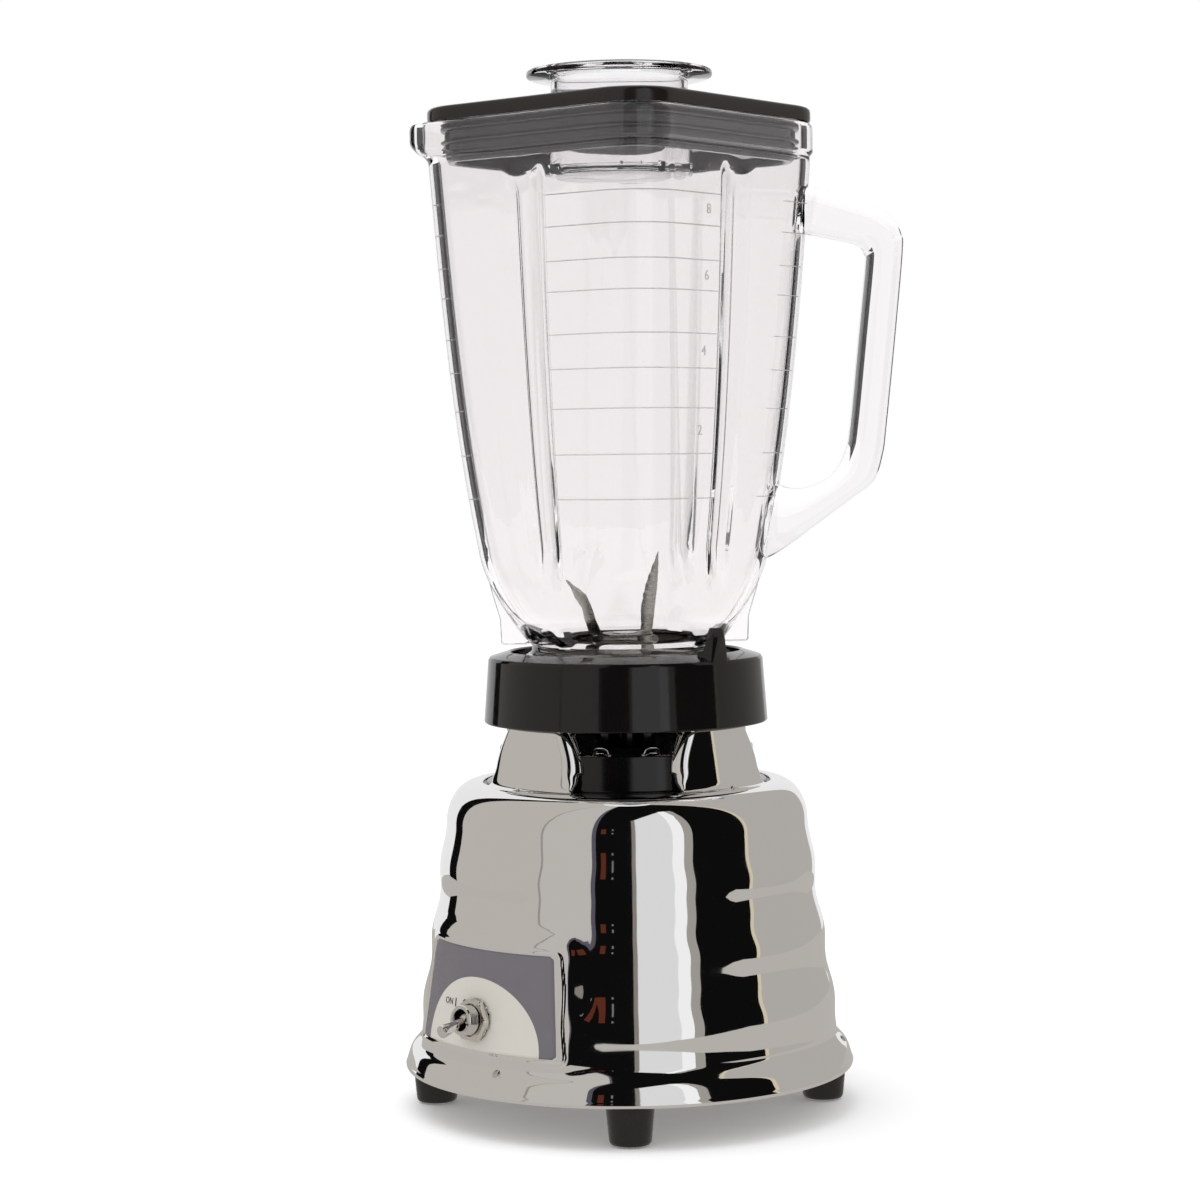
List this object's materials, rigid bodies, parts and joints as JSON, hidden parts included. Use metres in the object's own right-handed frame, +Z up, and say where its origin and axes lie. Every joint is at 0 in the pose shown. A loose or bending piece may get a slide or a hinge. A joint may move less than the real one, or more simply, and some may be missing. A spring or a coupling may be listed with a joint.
{
  "type": "countertop blender",
  "caption": "Countertop blender: rippled chrome motor base with a toggle switch, black collar with blades, square glass jar with a handle, soft lid and clear filler cap.",
  "frame": {"origin": "centre of the base on the surface that the feet stand on", "axes": "+Z up along the motor shaft, -Y to the front, where the switch and label are"},
  "size_m": [0.1636, 0.175, 0.3725],
  "materials": {
    "shell_chrome": "polished, rippled",
    "label_print": "satin print, grey with a beige half disc",
    "switch_plastic": "moulded",
    "terminal_brass": "stamped",
    "switch_metal": "nickel plated",
    "plate_steel": "black paint",
    "screw_steel": "bright plated",
    "foot_rubber": "moulded",
    "grommet_rubber": "moulded",
    "cover_plastic": "black",
    "bracket_metal": "die cast",
    "bronze": "sintered",
    "laminations": "stacked sheet",
    "copper_wire": "enamelled copper",
    "brush_brass": "folded sheet",
    "carbon": "pressed carbon",
    "shaft_steel": "ground",
    "fan_plastic": "moulded",
    "collar_plastic": "gloss black",
    "blade_steel": "stainless",
    "seal_rubber": "soft",
    "jar_glass": "pressed glass",
    "lid_vinyl": "soft black",
    "cap_clear": "clear"
  },
  "bodies": {
    "base": {"housing": "shell_chrome", "label_plate": "label_print", "switch_body": "switch_plastic", "switch_terminals": "terminal_brass", "switch_bushing": "switch_metal", "switch_nut": "switch_metal", "base_plate": "plate_steel", "shell_screws": "screw_steel", "foot_1": "foot_rubber", "foot_2": "foot_rubber", "foot_3": "foot_rubber", "foot_4": "foot_rubber", "foot_screws": "screw_steel", "cord_grommet": "grommet_rubber", "drip_cover": "cover_plastic", "cover_screws": "screw_steel", "upper_bracket": "bracket_metal", "lower_bracket": "bracket_metal", "upper_bearing": "bronze", "lower_bearing": "bronze", "stator_core": "laminations", "field_coils": "copper_wire", "brush_holders": "brush_brass", "carbon_brushes": "carbon", "motor_bolts": "screw_steel"},
    "rotor": {"motor_shaft": "shaft_steel", "armature_core": "laminations", "armature_windings": "copper_wire", "commutator": "copper_wire", "cooling_fan": "fan_plastic", "slinger": "cover_plastic", "drive_stud": "shaft_steel"},
    "switch_lever": {"switch_lever": "switch_metal"},
    "collar": {"collar": "collar_plastic", "blade_bearing": "blade_steel", "bearing_bush": "bronze"},
    "blades": {"blade_shaft": "shaft_steel", "drive_socket": "cover_plastic", "thrust_washer": "bronze", "lower_blade": "blade_steel", "upper_blade": "blade_steel"},
    "seal": {"sealing_ring": "seal_rubber"},
    "jar": {"glass_jar": "jar_glass"},
    "lid": {"lid": "lid_vinyl"},
    "filler_cap": {"filler_cap": "cap_clear"}
  },
  "joints": [
    {"name": "rotor_spin", "type": "hinge", "parent": "base", "child": "rotor", "pos_m": [0, 0, 0.1], "axis": [0, 0, 1], "continuous": true},
    {"name": "switch_toggle", "type": "hinge", "parent": "base", "child": "switch_lever", "pos_m": [0, -0.07955, 0.04018], "axis": [-1, 0, 0], "range_deg": [0, 40]},
    {"name": "jar_lift", "type": "slide", "parent": "base", "child": "collar", "axis": [0, 0, 1], "range_m": [0, 0.15]},
    {"name": "blade_spin", "type": "hinge", "parent": "collar", "child": "blades", "pos_m": [0, 0, 0.15], "axis": [0, 0, 1], "continuous": true},
    {"name": "jar_rise", "type": "slide", "parent": "collar", "child": "seal", "axis": [0, 0, 1], "range_m": [0, 0.0091]},
    {"name": "jar_turn", "type": "hinge", "parent": "seal", "child": "jar", "pos_m": [0, 0, 0.25], "axis": [0, 0, 1], "range_deg": [0, 540]},
    {"name": "lid_lift", "type": "slide", "parent": "jar", "child": "lid", "axis": [0, 0, 1], "range_m": [0, 0.1]},
    {"name": "cap_lift", "type": "slide", "parent": "lid", "child": "filler_cap", "axis": [0, 0, 1], "range_m": [0, 0.06]}
  ],
  "couplings": [
    {"joint": "blade_spin", "follows": "rotor_spin", "ratio": 1},
    {"joint": "jar_rise", "follows": "jar_turn", "m_per_rad": 0.00095493}
  ]
}
